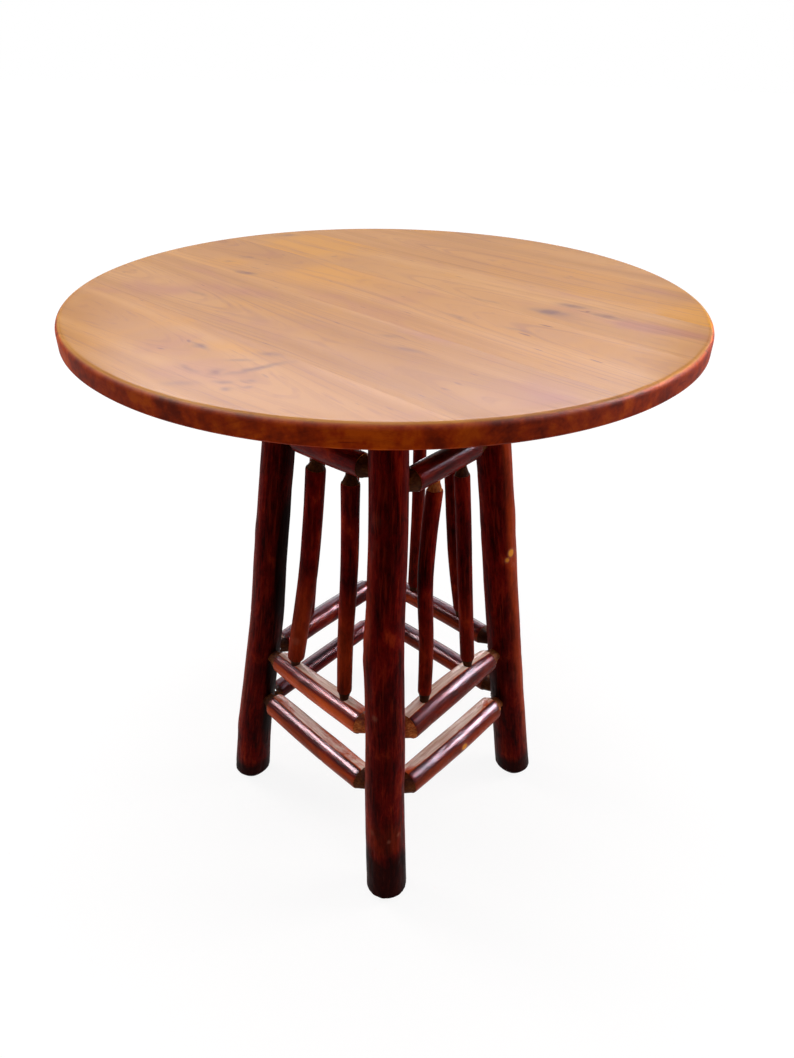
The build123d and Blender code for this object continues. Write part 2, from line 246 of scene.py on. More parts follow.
def bark_finish(name, roughness, specular, tint, thin_colour):
    """Stained bark: maroon with fine streaks, orange knots and pale scuffs that on rail crowns are also
    painted sheen.
    """
    made, shader = finish(name, specular, tint)
    grain = field(made, "grain")["Vector"]
    patches = cloud(made, stretched(made, grain, (32.0, 32.0, 10.0)), 1.0, 4.0, 0.6, 0.5)
    mottle = cloud(made, stretched(made, grain, (120.0, 120.0, 62.0)), 1.0, 4.0, 0.7, 0.9)
    streaks = cloud(made, stretched(made, grain, (230.0, 230.0, 17.0)), 1.0, 4.0, 0.6)
    mixed = calc(made, "ADD", calc(made, "MULTIPLY", patches, 0.75), calc(made, "MULTIPLY", mottle, 0.25))
    colour = steps(made, mixed, (
        (0.36, (0.012, 0.0003, 0.0004, 1.0)),
        (0.46, (0.048, 0.0006, 0.0007, 1.0)),
        (0.56, (0.105, 0.0022, 0.0012, 1.0)),
        (0.68, (0.230, 0.0180, 0.0040, 1.0)),
    ))
    streak_share = steps(made, streaks, ((0.52, grey(0.0)), (0.68, grey(0.45))))
    colour = mix(made, streak_share, colour, (0.230, 0.018, 0.005, 1.0))
    fissures = steps(made, streaks, ((0.32, grey(0.25)), (0.42, grey(1.0))))
    colour = mix(made, fissures, (0.008, 0.0004, 0.0004, 1.0), colour)
    ragged = steps(made, mixed, ((0.38, grey(0.45)), (0.58, grey(1.0))))
    rub_and_painted_light = calc(made, "MULTIPLY", field(made, "wear_and_painted_light")["Fac"], ragged)
    thin = steps(made, rub_and_painted_light, ((0.0, grey(0.0)), (0.40, grey(1.0))))
    colour = mix(made, thin, colour, thin_colour)
    # the pale share shows bare bark, and on a rail's crown it is also a painted sheen
    bare = steps(made, rub_and_painted_light, ((0.42, grey(0.0)), (0.75, grey(1.0))))
    tan_and_sheen = steps(made, streaks, ((0.34, (0.70, 0.40, 0.28, 1.0)), (0.56, (0.97, 0.78, 0.66, 1.0))))
    colour = mix(made, bare, colour, tan_and_sheen)
    knot = field(made, "knot")["Fac"]
    heart = steps(made, knot, ((0.25, (0.34, 0.11, 0.07, 1.0)), (0.70, (0.66, 0.25, 0.03, 1.0))))
    colour = mix(made, calc(made, "MULTIPLY", knot, 1.2, clamp=True), colour, heart)
    gloss = steps(made, mottle, ((0.30, grey(roughness * 1.25)), (0.65, grey(roughness * 0.85))))
    surface(made, shader, toned(made, colour), gloss, bump(made, streaks, 0.0004, 0.7))
    return made


# The rails are rubbed to a higher polish than the legs and the spindles.
bark = bark_finish("bark", 0.42, 0.015, (1.0, 0.30, 0.22, 1.0), (0.27, 0.030, 0.0045, 1.0))
rail_bark = bark_finish("rail_bark", 0.28, 0.05, (1.0, 0.94, 0.97, 1.0), (0.62, 0.090, 0.012, 1.0))

# ---- The legs ----
# Four hickory poles, butt end down, lean in to the top from a wide stance. Each is cut
# level on top with a round tenon for its batten, and its foot is eased and darkened to near black.
shoulder_height = 0.9704
leg_spread_floor = 0.4008
leg_spread_top = 0.2114
leg_flare = 1.3
foot_round = 0.020
foot_flat_radius = 0.020
foot_fullness = 0.85
leg_tenon_radius = 0.018
leg_tenon_depth = 0.024

# Side of the stance, top and foot diameters, and bends as (share of the height, x, y),
# in millimetres.
legs = {
    "leg_front_left": ((-1, -1), 54.0, 72.0, (
        (0.0, -0.5, -0.5), (0.16, -2.3, -2.3), (0.42, 2.5, 2.5), (0.60, 0.8, 0.8), (0.80, 0.2, 0.2))),
    "leg_front_right": ((1, -1), 57.0, 75.0, (
        (0.0, 2.0, 2.0), (0.10, 0.5, 0.5), (0.22, -1.2, -1.2), (0.38, -1.0, -1.0), (0.52, -2.6, -2.6),
        (0.75, 1.0, 1.0))),
    "leg_back_right": ((1, 1), 58.0, 72.0, (
        (0.0, 0.0, 0.0), (0.22, -0.8, -0.6), (0.48, -0.5, -0.3), (0.75, 1.1, 1.1))),
    "leg_back_left": ((-1, 1), 57.0, 71.0, (
        (0.0, 0.0, 0.0), (0.25, -2.0, 1.0), (0.55, -1.0, 3.0), (0.80, 1.0, 1.0))),
}
# Knots and scars: height on the leg (m), way it faces (degrees), size (mm), swelling
# (mm), and how much of the pale inner bark it shows.
leg_knots = {
    "leg_front_left": ((0.62, -150, 16, 1.5, 0.1), (0.33, -60, 14, 1.0, 0.0), (0.15, -120, 15, 1.2, 0.1)),
    "leg_front_right": (
        (0.763, -77, 12, 2.0, 0.04), (0.722, -83, 10, 1.6, 0.04), (0.705, -92, 9, 1.4, 0.04),
        (0.523, -128, 28, 3.2, 0.0), (0.417, -75, 7, 0.8, 0.3), (0.156, -35, 5, 0.5, 0.3),
        (0.164, -4, 5, 0.5, 0.3), (0.170, -86, 8, 0.8, 0.15)),
    "leg_back_right": (
        (0.585, -12, 10, 1.6, 1.0), (0.572, -27, 7, 1.0, 0.8), (0.60, -55, 26, 2.0, 0.0),
        (0.655, 10, 24, 1.6, 0.0), (0.30, -30, 14, 1.2, 0.05)),
    "leg_back_left": ((0.66, 120, 16, 1.6, 0.1), (0.35, 60, 15, 1.2, 0.1), (0.50, 160, 13, 1.2, 0.3)),
}
# Long places where the stain is rubbed thin and red, or lies black; on the front left leg one is
# painted shade and on the back right leg one is painted light. Each gives height and half height (m),
# way and half width (degrees), and how thin (1) or how black (-1) it is.
leg_stains_and_painted_light = {
    # painted shade: the black facing 25 degrees darkens this leg's inner side, away from the lamps
    "leg_front_left": (
        (0.50, 0.50, 25, 62, -0.93), (0.45, 0.42, -45, 22, -0.5), (0.35, 0.20, -112, 24, 0.13)),
    "leg_front_right": (
        (0.155, 0.032, -55, 60, 0.15), (0.52, 0.14, -118, 26, 0.17), (0.35, 0.12, -120, 24, 0.12),
        (0.30, 0.22, -50, 38, -0.35), (0.72, 0.12, -52, 30, -0.4)),
    # painted light: the thin red facing 22 degrees brightens this leg's lit outer side
    "leg_back_right": (
        (0.62, 0.34, 22, 42, 0.46), (0.24, 0.16, 30, 32, 0.38), (0.24, 0.18, -85, 60, -0.6)),
    "leg_back_left": ((0.55, 0.20, 120, 50, 0.2), (0.30, 0.20, 10, 60, -0.6)),
}
# How high the black of each foot reaches, and how its edge waves and fades, in metres.
black_feet = {
    "leg_front_left": 0.048, "leg_front_right": 0.100, "leg_back_right": 0.055, "leg_back_left": 0.050,
}
black_tone = 0.14
black_wave = 0.012
black_wave_size = 0.03
black_fade = 0.025
# The bark's lobes, lumps, ridges and cracks: sizes across and along a pole, and heights,
# in metres. Lobes rise by a share of the radius, and the rest suits the usual radius.
lobe_size = (0.05, 0.05, 0.30)
lobe_share = 0.022
lump_size = (0.022, 0.022, 0.055)
lump_height = 0.00055
ridge_size = (0.0052, 0.0052, 0.036)
ridge_height = 0.00026
crack_size = (0.008, 0.008, 0.07)
crack_depth = 0.00045
crack_narrowness = 7
usual_radius = 0.034

chance = np.random.default_rng(17)
shuffle = np.tile(chance.permutation(256), 2)
heights = chance.uniform(-1.0, 1.0, 256)


def noise(points):
    """Smooth noise from -1 to 1 at an array of points."""
    cell = np.floor(points).astype(int)
    inside = points - cell
    ease = inside * inside * (3 - 2 * inside)
    total = np.zeros(points.shape[:-1])
    for corner in product((0, 1), repeat=3):
        key = shuffle[(cell[..., 0] + corner[0]) & 255]
        key = shuffle[(key + cell[..., 1] + corner[1]) & 255]
        key = shuffle[(key + cell[..., 2] + corner[2]) & 255]
        weight = np.prod(np.where(np.array(corner) == 1, ease, 1 - ease), axis=-1)
        total += weight * heights[key]
    return total


def smooth(first, last, slope_in, slope_out, share):
    """A cubic from one value to the next with a slope at each end."""
    rest = 1 - share
    return (
        first * (1 + 2 * share) * rest * rest
        + last * (3 - 2 * share) * share * share
        + slope_in * share * rest * rest
        - slope_out * rest * share * share
    )


def bend(kinks, share):
    """The sideways offset (x, y) in metres at a share of a pole, through its kinks."""
    here = 0
    while here < len(kinks) - 2 and kinks[here + 1][0] < share:
        here += 1
    start, end = kinks[here], kinks[here + 1]
    before, after = kinks[max(here - 1, 0)], kinks[min(here + 2, len(kinks) - 1)]
    step = end[0] - start[0]
    offset = []
    for way in (1, 2):
        slope_in = (end[way] - before[way]) / (end[0] - before[0]) * step
        slope_out = (after[way] - start[way]) / (after[0] - start[0]) * step
        place = (share - start[0]) / step
        offset.append(smooth(start[way], end[way], slope_in, slope_out, place) / 1000)
    return offset


def leg_centre(name, height):
    """Centre of a leg at a height."""
    side_x, side_y = legs[name][0]
    kinks = legs[name][3]
    share = height / shoulder_height
    spread = (leg_spread_floor + (leg_spread_top - leg_spread_floor) * share) / 2
    offset_x, offset_y = bend(kinks + ((1.0, 0.0, 0.0),), share)
    return np.array((side_x * spread + offset_x, side_y * spread + offset_y, height))


def leg_radius(name, height):
    """Radius of a leg at a height, thicker towards the butt end."""
    top_size, foot_size = legs[name][1:3]
    below = max(1 - height / shoulder_height, 0.0)
    return (top_size + (foot_size - top_size) * below ** leg_flare) / 2000


def bark_relief(turn, place, radius, seed):
    """How far natural bark stands off a true round, for turns around and places along."""
    shape = (len(place), len(turn))
    local = np.empty(shape + (3,))
    local[..., 0] = radius[:, None] * np.cos(turn)
    local[..., 1] = radius[:, None] * np.sin(turn)
    local[..., 2] = place[:, None]
    shifted = local + seed * 3.7
    lobes = noise(shifted / lobe_size)
    lumps = noise(shifted / lump_size)
    ridges = noise(shifted / ridge_size)
    cracks = np.clip(1 - np.abs(noise(shifted / crack_size + 9.3)) * crack_narrowness, 0, 1)
    fine = lump_height * lumps + ridge_height * ridges - crack_depth * cracks
    return radius[:, None] * (lobe_share * lobes + fine / usual_radius), local


def knot_relief(turn, place, radius, knots):
    """The swellings of knots, and how far the pale inner bark shows on each."""
    longer_than_wide = 1.25
    dimple_depth, dimple_tightness = 0.55, 7
    pale_tightness = 2.2
    swell = np.zeros((len(place), len(turn)))
    pale = np.zeros_like(swell)
    for height, way, size, rise, shown in knots:
        around = (turn - np.radians(way) + np.pi) % (2 * np.pi) - np.pi
        across = around[None, :] * radius[:, None] / (size / 1000)
        along = (place[:, None] - height) / (size / 1000 * longer_than_wide)
        far = across ** 2 + along ** 2
        swell += rise / 1000 * (np.exp(-far) - dimple_depth * np.exp(-far * dimple_tightness))
        pale = np.maximum(pale, shown * np.exp(-(far * pale_tightness) ** 2))
    return swell, pale


sharp_cut = 38  # degrees between faces, from which an edge shows as cut


def skin(name, rings, fields, zones, materials):
    """A closed mesh over a stack of rings, with its fields and a material for each zone."""
    count, around = rings.shape[:2]
    points = np.vstack((rings.reshape(-1, 3), rings[0].mean(0), rings[-1].mean(0)))
    first_hub, last_hub = count * around, count * around + 1
    faces, slots = [], []
    for row in range(count - 1):
        for column in range(around):
            beside = (column + 1) % around
            low, high = row * around, (row + 1) * around
            faces.append((low + column, low + beside, high + beside, high + column))
            slots.append(zones[row])
    for column in range(around):
        beside = (column + 1) % around
        faces.append((first_hub, beside, column))
        slots.append(zones[0])
        high = (count - 1) * around
        faces.append((last_hub, high + column, high + beside))
        slots.append(zones[-1])
    mesh = bpy.data.meshes.new(name)
    mesh.from_pydata(points.tolist(), [], faces)
    mesh.polygons.foreach_set("material_index", slots)
    for label, values in fields.items():
        kind, way_in = ("FLOAT_VECTOR", "vector") if values.ndim == 3 else ("FLOAT", "value")
        flat = values.reshape(count * around, -1)
        full = np.vstack((flat, values[0].mean(0), values[-1].mean(0)))
        layer = mesh.attributes.new(label, kind, "POINT")
        layer.data.foreach_set(way_in, full.ravel().astype(np.float32))
    for material in materials:
        mesh.materials.append(material)
    mesh.shade_smooth()
    mesh.set_sharp_from_angle(angle=np.radians(sharp_cut))
    piece = bpy.data.objects.new(name, mesh)
    bpy.context.scene.collection.objects.link(piece)
    return piece


leg_around = 112
leg_rows = 300
foot_rows = 12
ragged_size = (0.03, 0.03, 0.08)
ragged_share = 0.8
blackest_stain_and_shade = 0.95
thinnest_stain_and_lit_side = 0.43
turns = np.linspace(0, 2 * np.pi, leg_around, endpoint=False)
for number, name in enumerate(legs):
    place = np.concatenate((
        np.linspace(0.0, foot_round, foot_rows, endpoint=False),
        np.linspace(foot_round, shoulder_height, leg_rows),
    ))
    radius = np.array([leg_radius(name, max(height, foot_round)) for height in place])
    ease = np.clip(place / foot_round, 0.0, 1.0) ** foot_fullness
    base = foot_flat_radius + (radius - foot_flat_radius) * ease
    relief, local = bark_relief(turns, place, radius, number + 1.0)
    swell, pale = knot_relief(turns, place, radius, leg_knots[name])
    reach = base[:, None] + (relief + swell) * ease[:, None]
    centres = np.array([leg_centre(name, height) for height in place])
    rings = np.repeat(centres[:, None, :], leg_around, axis=1)
    rings[..., 0] += reach * np.cos(turns)
    rings[..., 1] += reach * np.sin(turns)
    # the tenon that goes up into the batten
    top = centres[-1]
    for rise in (0.0, leg_tenon_depth):
        ring = np.empty((1, leg_around, 3))
        ring[0, :, 0] = top[0] + leg_tenon_radius * np.cos(turns)
        ring[0, :, 1] = top[1] + leg_tenon_radius * np.sin(turns)
        ring[0, :, 2] = shoulder_height + rise
        rings = np.vstack((rings, ring))
    local = np.vstack((local, local[-1:], local[-1:]))
    pale = np.vstack((pale, pale[-1:], pale[-1:]))
    # the foot is darkened to near black up to a wavy line
    wave = black_feet[name] + black_wave * noise(local / black_wave_size)
    tone = black_tone + (1 - black_tone) * np.clip((local[..., 2] - wave) / black_fade, 0.0, 1.0)
    wear_and_painted_light = np.zeros(tone.shape)
    ragged = 1 + ragged_share * noise(local / ragged_size)
    for height, half_height, way, half_width, depth in leg_stains_and_painted_light[name]:
        around = np.degrees((turns - np.radians(way) + np.pi) % (2 * np.pi) - np.pi)
        far = ((local[..., 2] - height) / half_height) ** 4 + (around / half_width) ** 4
        amount = abs(depth) * ragged * np.exp(-far)
        if depth > 0:
            wear_and_painted_light = np.maximum(wear_and_painted_light, np.clip(amount, 0.0, thinnest_stain_and_lit_side))
        else:
            tone = np.minimum(tone, 1 - np.clip(amount, 0.0, blackest_stain_and_shade))
    zones = [0] * (len(rings) - 1)
    fields = {"grain": local, "knot": pale, "tone": tone, "wear_and_painted_light": wear_and_painted_light}
    piece = skin(name + "_pole", rings, fields, zones, [bark])
    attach(piece, "root")
    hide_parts(name)

# ---- Rails and spindles ----
# Lighter poles join the legs in three tiers, and two spindles stand on each side. Their
# ends are cut square through the bark and shaved to a cone with a round tenon, glued in.
rail_tenon_radius = 0.012
rail_cone_length = 0.018
spindle_tenon_radius = 0.008
spindle_cone_length = 0.013
bark_thickness = 0.0015
tenon_reveal = 0.003
tenon_sunk = 0.008

cut_wood, cut_shader = finish("cut_wood", 0.02)
grain = field(cut_wood, "grain")["Vector"]
fibre = cloud(cut_wood, stretched(cut_wood, grain, (420.0, 420.0, 30.0)), 1.0, 3.0, 0.6)
blush = cloud(cut_wood, grain, 38.0, 2.0)
cut_colour = steps(cut_wood, fibre, (
    (0.30, (0.20, 0.035, 0.008, 1.0)),
    (0.50, (0.42, 0.110, 0.022, 1.0)),
    (0.72, (0.62, 0.220, 0.060, 1.0)),
))
blush_share = steps(cut_wood, blush, ((0.35, grey(0.75)), (0.62, grey(0.0))))
cut_colour = mix(cut_wood, blush_share, cut_colour, (0.10, 0.012, 0.005, 1.0))
cut_gloss = steps(cut_wood, fibre, ((0.3, grey(0.55)), (0.7, grey(0.38))))
surface(cut_wood, cut_shader, toned(cut_wood, cut_colour), cut_gloss, bump(cut_wood, fibre, 0.0002, 0.6))

sides = {
    "front": ("leg_front_left", "leg_front_right"),
    "right": ("leg_front_right", "leg_back_right"),
    "back": ("leg_back_left", "leg_back_right"),
    "left": ("leg_front_left", "leg_back_left"),
}
# Side, heights at the two legs, diameters at the first end, middle and second end, and
# bow (x, y, z), all in millimetres.
rails = {
    "top_rail_front": ("front", 804.0, 817.0, (38.5, 40.0, 38.5), (0.0, -1.0, 1.0)),
    "top_rail_right": ("right", 791.0, 797.0, (40.0, 41.5, 40.0), (1.0, 0.0, 1.0)),
    "top_rail_back": ("back", 805.0, 801.0, (37.0, 38.0, 37.5), (0.0, 1.0, -1.5)),
    "top_rail_left": ("left", 793.0, 799.0, (37.0, 38.0, 37.5), (-1.0, 0.0, 1.5)),
    "upper_foot_rail_front": ("front", 343.0, 349.0, (40.0, 46.5, 47.0), (0.0, -2.0, 1.0)),
    "upper_foot_rail_right": ("right", 336.0, 346.0, (50.0, 51.5, 43.0), (2.0, 0.0, 8.0)),
    "upper_foot_rail_back": ("back", 332.0, 345.0, (39.0, 40.0, 39.5), (0.0, 1.0, 1.0)),
    "upper_foot_rail_left": ("left", 324.0, 336.0, (43.0, 44.5, 43.5), (-1.0, 0.0, 2.0)),
    "low_foot_rail_front": ("front", 233.5, 223.5, (46.0, 48.5, 47.0), (0.0, -2.0, 1.5)),
    "low_foot_rail_right": ("right", 213.0, 219.0, (49.0, 51.0, 49.5), (2.0, 0.0, 1.0)),
    "low_foot_rail_back": ("back", 207.0, 214.0, (38.5, 39.5, 38.0), (0.0, 1.0, 1.0)),
    "low_foot_rail_left": ("left", 192.0, 218.0, (37.0, 37.5, 37.0), (-1.0, 0.0, -1.0)),
}
# Side, places along the top rail and the upper foot rail as shares, top and foot
# diameters (mm), and bends as (share from the top, x, y).
spindles = {
    "spindle_front_left": ("front", 0.385, 0.285, 33.0, 31.0, (
        (0.25, 7.0, -1.0), (0.50, 10.0, -2.0), (0.80, 3.0, 0.0))),
    "spindle_front_right": ("front", 0.686, 0.694, 30.0, 26.0, ((0.35, 2.0, 1.0), (0.75, -1.0, 0.0))),
    "spindle_right_front": ("right", 0.419, 0.288, 27.0, 24.0, (
        (0.20, 0.0, -9.0), (0.42, 1.0, -13.0), (0.75, 1.0, -3.0))),
    "spindle_right_back": ("right", 0.670, 0.655, 27.0, 26.0, ((0.30, 1.0, -1.0), (0.60, 2.0, -3.0))),
    "spindle_back_left": ("back", 0.358, 0.273, 25.0, 25.0, ((0.45, 1.0, 2.0), (0.75, 1.0, 1.0))),
    "spindle_back_right": ("back", 0.614, 0.664, 24.0, 25.0, ((0.30, -4.0, 1.0), (0.65, -7.0, 1.0))),
    "spindle_left_front": ("left", 0.360, 0.340, 28.0, 27.0, ((0.40, -2.0, 3.0), (0.75, 0.0, 1.0))),
    "spindle_left_back": ("left", 0.690, 0.700, 27.0, 26.0, ((0.50, 1.0, -3.0), (0.80, 0.0, 1.0))),
}
# Knots as on the legs, their places as shares of the pole and their ways around it,
# where 90 faces up on a rail and 0 faces right on a spindle.
pole_knots = {
    "low_foot_rail_right": ((0.53, 172, 10, 1.2, 0.9), (0.75, 120, 14, 1.0, 0.0)),
    "spindle_front_left": ((0.87, -60, 10, 1.2, 0.15),),
    "upper_foot_rail_front": ((0.32, 150, 12, 1.0, 0.1),),
}
# The knife leaves facets around the cones, their height a share of the radius, and the
# bark's cut edge is softened over its last two millimetres.
facet_count = 9
facet_height = 0.018
out_of_round = 0.01
soft_edge = 0.002
soft_edge_drop = 0.0006
# Wear starts where a surface faces this far up, or a spindle is this far down, and is whole one
# fade further on. A crown faces up and a little inward, and its pale colour is painted sheen as well as
# rubbed bark.
scuff_size = (0.02, 0.02, 0.07)
crown_up, crown_inward = 0.95, 0.31
crown_start, crown_fade = 0.855, 0.06
flank_start, flank_fade = 0.62, 0.15
shoe_start, shoe_fade = 0.45, 0.2


class Pole:
    """The axis and thickness of a pole between two hosts."""

    def __init__(self, start, end, hosts, sizes, kinks, rise, cone_length):
        self.start = start
        self.span = np.linalg.norm(end - start)
        self.axis = (end - start) / self.span
        self.sizes = sizes
        self.kinks = ((0.0, 0.0, 0.0),) + kinks + ((1.0, 0.0, 0.0),)
        self.rise = rise
        self.first = hosts[0] + tenon_reveal + cone_length
        self.last = self.span - hosts[1] - tenon_reveal - cone_length

    def share(self, distance):
        """Share of the body passed at a distance along the axis."""
        return min(max((distance - self.first) / (self.last - self.first), 0.0), 1.0)

    def centre(self, distance):
        """Centre of the pole at a distance along its axis."""
        share = self.share(distance)
        offset_x, offset_y = bend(self.kinks, share)
        lift = self.rise / 1000 * np.sin(np.pi * share)
        return self.start + self.axis * distance + np.array((offset_x, offset_y, lift))

    def radius(self, distance):
        """Radius of the body at a distance along the axis."""
        first_size, middle_size, second_size = self.sizes
        share = self.share(distance)
        rest = 1 - share
        size = first_size * rest * (rest - share) + middle_size * 4 * share * rest
        return (size + second_size * share * (share - rest)) / 2000


def shaved_end(pole, place, way, shoulder_radius, tenon_radius, cone_length):
    """Rings from a body's end into its host: bark step, shaved cone and tenon."""
    cone_rows = 10
    rows = [(place, shoulder_radius)]
    for number in range(1, cone_rows + 1):
        share = number / cone_rows
        radius = shoulder_radius + (tenon_radius - shoulder_radius) * share
        rows.append((place + way * cone_length * share, radius))
    rows.append((place + way * (cone_length + tenon_reveal + tenon_sunk), tenon_radius))
    return rows


def make_pole(name, pole, around, spacing, tenon_radius, cone_length, side, seed, tones, cover, wear_and_sheen):
    """A bark-covered pole with a shaved cone and tenon at each end, as one closed mesh."""
    turn = np.linspace(0, 2 * np.pi, around, endpoint=False)
    other = np.cross(pole.axis, side)
    if other[2] < -0.5 or (abs(other[2]) < 0.5 and other[1] < 0):
        other = -other
    place = np.linspace(pole.first, pole.last, int((pole.last - pole.first) / spacing))
    radius = np.array([pole.radius(distance) for distance in place])
    relief, local = bark_relief(turn, place, radius, seed)
    knots = [
        (pole.first + share * (pole.last - pole.first), way, size, rise, shown)
        for share, way, size, rise, shown in pole_knots.get(name, ())
    ]
    swell, pale = knot_relief(turn, place, radius, knots)
    reach = radius[:, None] + relief + swell
    edge = np.minimum(place - pole.first, pole.last - place) / soft_edge
    reach -= soft_edge_drop * np.clip(1 - edge, 0.0, 1.0)[:, None] ** 2
    rows = []
    for end, way in ((pole.first, -1), (pole.last, 1)):
        radius_end = pole.radius(end) - bark_thickness
        rows.append(shaved_end(pole, end, way, radius_end, tenon_radius, cone_length))
    head, tail = rows[0][::-1], rows[1]
    facets = 1 + facet_height * np.cos(turn * facet_count + 2.0 * np.sin(turn * 2 + seed))
    facets += out_of_round * np.sin(turn * 4 + seed)
    head_reach = [size * facets for distance, size in head]
    tail_reach = [size * facets for distance, size in tail]
    all_reach = np.vstack((head_reach, reach, tail_reach))
    distances = np.concatenate(([row[0] for row in head], place, [row[0] for row in tail]))
    centres = np.array([pole.centre(distance) for distance in distances])
    rings = (
        centres[:, None, :]
        + (all_reach * np.cos(turn))[..., None] * side
        + (all_reach * np.sin(turn))[..., None] * other
    )
    full = np.empty(rings.shape)
    full[..., 0] = all_reach * np.cos(turn) + seed
    full[..., 1] = all_reach * np.sin(turn)
    full[..., 2] = distances[:, None] + seed
    shown = np.zeros(all_reach.shape)
    shown[len(head):len(head) + len(place)] = pale
    tone = np.ones(all_reach.shape)
    tone[:len(head)] = tones[0]
    tone[-len(tail):] = tones[1]
    zones = [1] * len(head) + [0] * (len(place) - 1) + [1] * len(tail)
    # feet rub a rail's crown and legs its flanks, and both also carry painted sheen and light; shoes rub a
    # spindle's lower half
    ragged = 0.75 + 0.5 * noise(full / scuff_size)
    crown, flank = wear_and_sheen
    if abs(pole.axis[2]) < 0.5:
        up = np.cos(turn) * side[2] + np.sin(turn) * other[2]
        middle = pole.centre(pole.span / 2)
        inward = -(np.cos(turn) * (side[:2] @ middle[:2]) + np.sin(turn) * (other[:2] @ middle[:2]))
        inward /= np.linalg.norm(middle[:2])
        facing = crown_up * up + crown_inward * inward
        rub_and_painted_light = crown * np.clip((facing - crown_start) / crown_fade, 0.0, 1.0)
        rub_and_painted_light = np.maximum(rub_and_painted_light, flank * np.clip((flank_start - up) / flank_fade, 0.0, 1.0))
    else:
        down = distances[:, None] / pole.span
        rub_and_painted_light = flank * np.clip((down - shoe_start) / shoe_fade, 0.0, 1.0)
    fields = {"grain": full, "knot": shown, "tone": tone, "wear_and_painted_light": np.clip(rub_and_painted_light * ragged, 0.0, 1.0)}
    piece = skin(name + "_pole", rings, fields, zones, [cover, cut_wood])
    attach(piece, "root")
    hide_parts(name)


# How much colour the dark stain leaves on the cut wood at each end of a pole.
end_tones = {
    "upper_foot_rail_front": (0.3, 1.2),
    "upper_foot_rail_right": (1.2, 0.4),
    "low_foot_rail_front": (0.15, 0.3),
    "low_foot_rail_right": (0.3, 0.5),
    "spindle_right_front": (0.9, 0.1),
}
# How far the crown and the flanks of each foot rail are rubbed, which also paints their sheen and the light
# on them.
wear_and_sheen = {
    "upper_foot_rail_front": (1.4, 0.34), "upper_foot_rail_right": (1.4, 0.05),
    "upper_foot_rail_back": (0.0, 0.12), "upper_foot_rail_left": (0.0, 0.0),
    "low_foot_rail_front": (1.5, 0.38), "low_foot_rail_right": (1.5, 0.14),
    "low_foot_rail_back": (0.0, 0.12), "low_foot_rail_left": (0.0, 0.0),
}
rail_around = 84
rail_row = 0.0028
rail_poles = {}
for number, (name, rail) in enumerate(rails.items()):
    side, first_height, second_height, sizes, bow = rail
    ends = list(zip(sides[side], (first_height / 1000, second_height / 1000)))
    start, end = (leg_centre(leg, height) for leg, height in ends)
    hosts = [leg_radius(leg, height) for leg, height in ends]
    pole = Pole(start, end, hosts, sizes, ((0.5, bow[0], bow[1]),), bow[2], rail_cone_length)
    rail_poles[name] = pole
    level = np.cross((0.0, 0.0, 1.0), pole.axis)
    level /= np.linalg.norm(level)
    make_pole(name, pole, rail_around, rail_row, rail_tenon_radius, rail_cone_length, level,
              number + 10.0, end_tones.get(name, (0.15, 0.15)), rail_bark, wear_and_sheen.get(name, (0.0, 0.0)))

spindle_around = 60
spindle_row = 0.003
for number, (name, spindle) in enumerate(spindles.items()):
    side, top_share, foot_share, top_size, foot_size, kinks = spindle
    upper = rail_poles["top_rail_" + side]
    lower = rail_poles["upper_foot_rail_" + side]
    upper_place = upper.span * top_share
    lower_place = lower.span * foot_share
    hosts = (upper.radius(upper_place), lower.radius(lower_place))
    sizes = (top_size, (top_size + foot_size) / 2, foot_size)
    start, end = upper.centre(upper_place), lower.centre(lower_place)
    pole = Pole(start, end, hosts, sizes, kinks, 0.0, spindle_cone_length)
    right = np.array((1.0, 0.0, 0.0)) - pole.axis * pole.axis[0]
    right /= np.linalg.norm(right)
    scuffed = 0.26 if side == "front" else 0.06
    make_pole(name, pole, spindle_around, spindle_row, spindle_tenon_radius, spindle_cone_length, right,
              number + 30.0, end_tones.get(name, (0.1, 0.1)), bark, (0.0, scuffed))

# ---- The top ----
# Six wide boards, edge glued over dowels and cut to a round. The upper edge is rounded,
# and the face is hand scraped, stained honey amber and varnished to a satin gloss.
table_height = 1.029
top_thickness = 0.0286
top_radius = 0.4571
arris_round = 0.008
under_chamfer = 0.0025
seam_ease = 0.00004
board_shares = (1.85, 1.75, 1.55, 1.35, 1.30, 1.34)
underside = table_height - top_thickness

top_wood, top_shader = finish("top_wood", 0.025, (1.0, 0.86, 0.66, 1.0))
grain = field(top_wood, "grain")["Vector"]
knot = field(top_wood, "knot")["Fac"]
side_share = field(top_wood, "edge")["Fac"]
rings_seen = cloud(top_wood, stretched(top_wood, grain, (1.6, 210.0, 3.0)), 1.0, 3.0, 0.6)
wide_rings = cloud(top_wood, stretched(top_wood, grain, (1.1, 32.0, 2.0)), 1.0, 2.0, 0.5)
pores = cloud(top_wood, stretched(top_wood, grain, (16.0, 420.0, 420.0)), 1.0, 3.0, 0.6)
flecks = cloud(top_wood, stretched(top_wood, grain, (26.0, 300.0, 100.0)), 1.0, 1.0, 0.5)
blotches = cloud(top_wood, stretched(top_wood, grain, (5.0, 11.0, 2.0)), 1.0, 3.0, 0.6, 0.5)
wood_colour = steps(top_wood, wide_rings, (
    (0.30, (0.46, 0.185, 0.024, 1.0)),
    (0.50, (0.55, 0.240, 0.042, 1.0)),
    (0.70, (0.64, 0.305, 0.070, 1.0)),
))
stain = field(top_wood, "stain")["Fac"]
stained = calc(top_wood, "ADD", calc(top_wood, "MULTIPLY", stain, 0.5), blotches)
gold_share = steps(top_wood, stained, ((0.50, grey(0.0)), (0.95, grey(1.0))))
wood_colour = mix(top_wood, gold_share, wood_colour, (0.64, 0.268, 0.007, 1.0))
pink_share = steps(top_wood, stained, ((0.15, grey(0.90)), (0.43, grey(0.0))))
